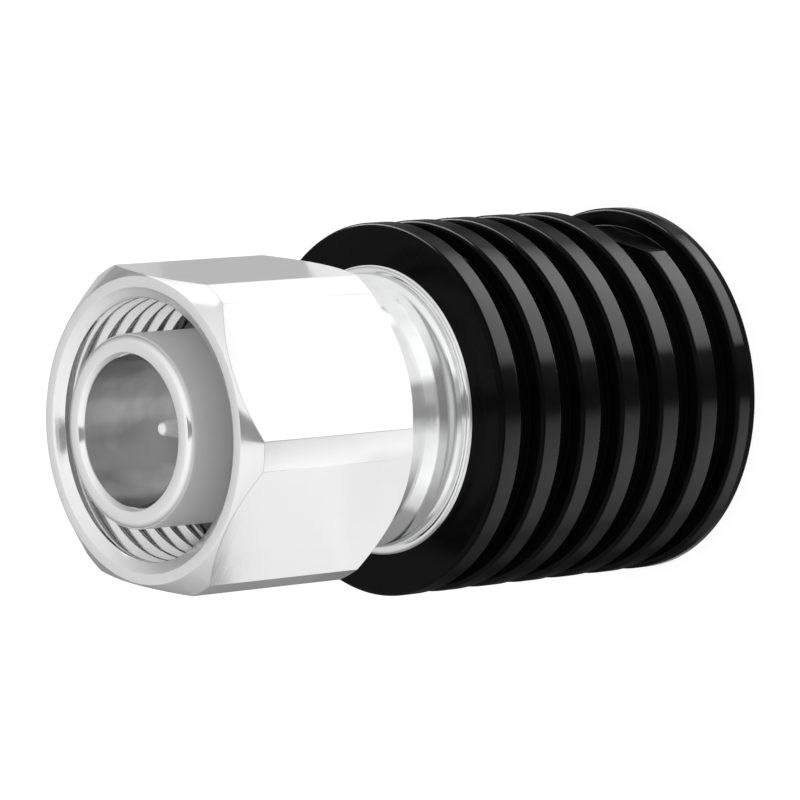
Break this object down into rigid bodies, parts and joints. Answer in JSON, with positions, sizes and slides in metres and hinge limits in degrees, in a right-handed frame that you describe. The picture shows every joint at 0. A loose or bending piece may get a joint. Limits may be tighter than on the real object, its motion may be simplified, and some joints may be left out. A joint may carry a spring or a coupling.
{
  "type": "rf dummy load",
  "caption": "Coaxial dummy load: plug with a spinning hex coupling nut on a black finned heat sink that holds a rod resistor.",
  "frame": {"origin": "centre of the rear face of the heat sink, which it stands on", "axes": "+Z along the axis of the plug towards its mouth, +X out of the flat milled on the heat sink"},
  "size_m": [0.0274, 0.0274, 0.0487],
  "materials": {
    "sink_black": "satin",
    "nut_plating": "polished",
    "body_plating": "polished",
    "contact_plating": "polished",
    "spring_steel": "satin",
    "seal_rubber": "matte",
    "insulator": "matte",
    "rod_ceramic": "matte",
    "sleeve_brass": "satin"
  },
  "bodies": {
    "load": {"heat_sink": "sink_black", "connector_body": "body_plating", "outer_contact": "contact_plating", "retaining_ring": "spring_steel", "interface_gasket": "seal_rubber", "joint_seal": "seal_rubber", "centre_contact": "contact_plating", "front_bead": "insulator", "resistor_rod": "rod_ceramic", "front_cap": "contact_plating", "rear_cap": "contact_plating", "taper_sleeve": "sleeve_brass"},
    "nut": {"coupling_nut": "nut_plating"}
  },
  "joints": [
    {"name": "coupling_nut_spin", "type": "hinge", "parent": "load", "child": "nut", "pos_m": [0, 0, 0.03935], "axis": [0, 0, 1], "continuous": true}
  ]
}
